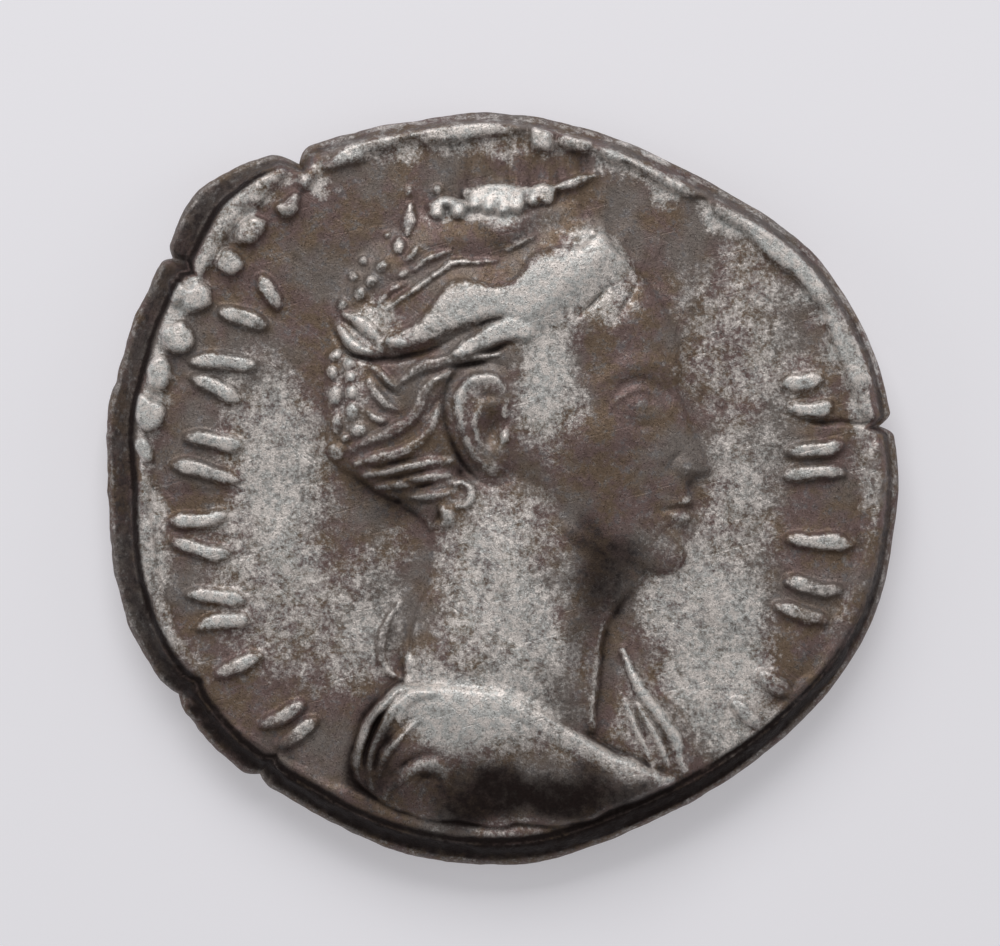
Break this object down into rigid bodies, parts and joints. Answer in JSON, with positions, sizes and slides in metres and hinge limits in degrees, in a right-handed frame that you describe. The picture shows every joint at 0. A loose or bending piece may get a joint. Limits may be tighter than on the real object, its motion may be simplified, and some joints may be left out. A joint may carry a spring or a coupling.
{
  "type": "denarius coin",
  "caption": "Worn ancient silver coin with an uneven flan: a draped bust in profile on one side, and a star in a ring of strokes on the other.",
  "frame": {"origin": "middle of the coin's box at the plane that it rests on", "axes": "+X to the right of the portrait, along the coin's greatest length; +Y up the portrait; +Z out of the obverse"},
  "size_m": [0.018, 0.017, 0.0021],
  "materials": {
    "silver": "worn struck silver with a grey-brown tone, bright on the high places and dark in the recesses"
  },
  "bodies": {
    "root": {"denarius": "silver"}
  },
  "joints": []
}
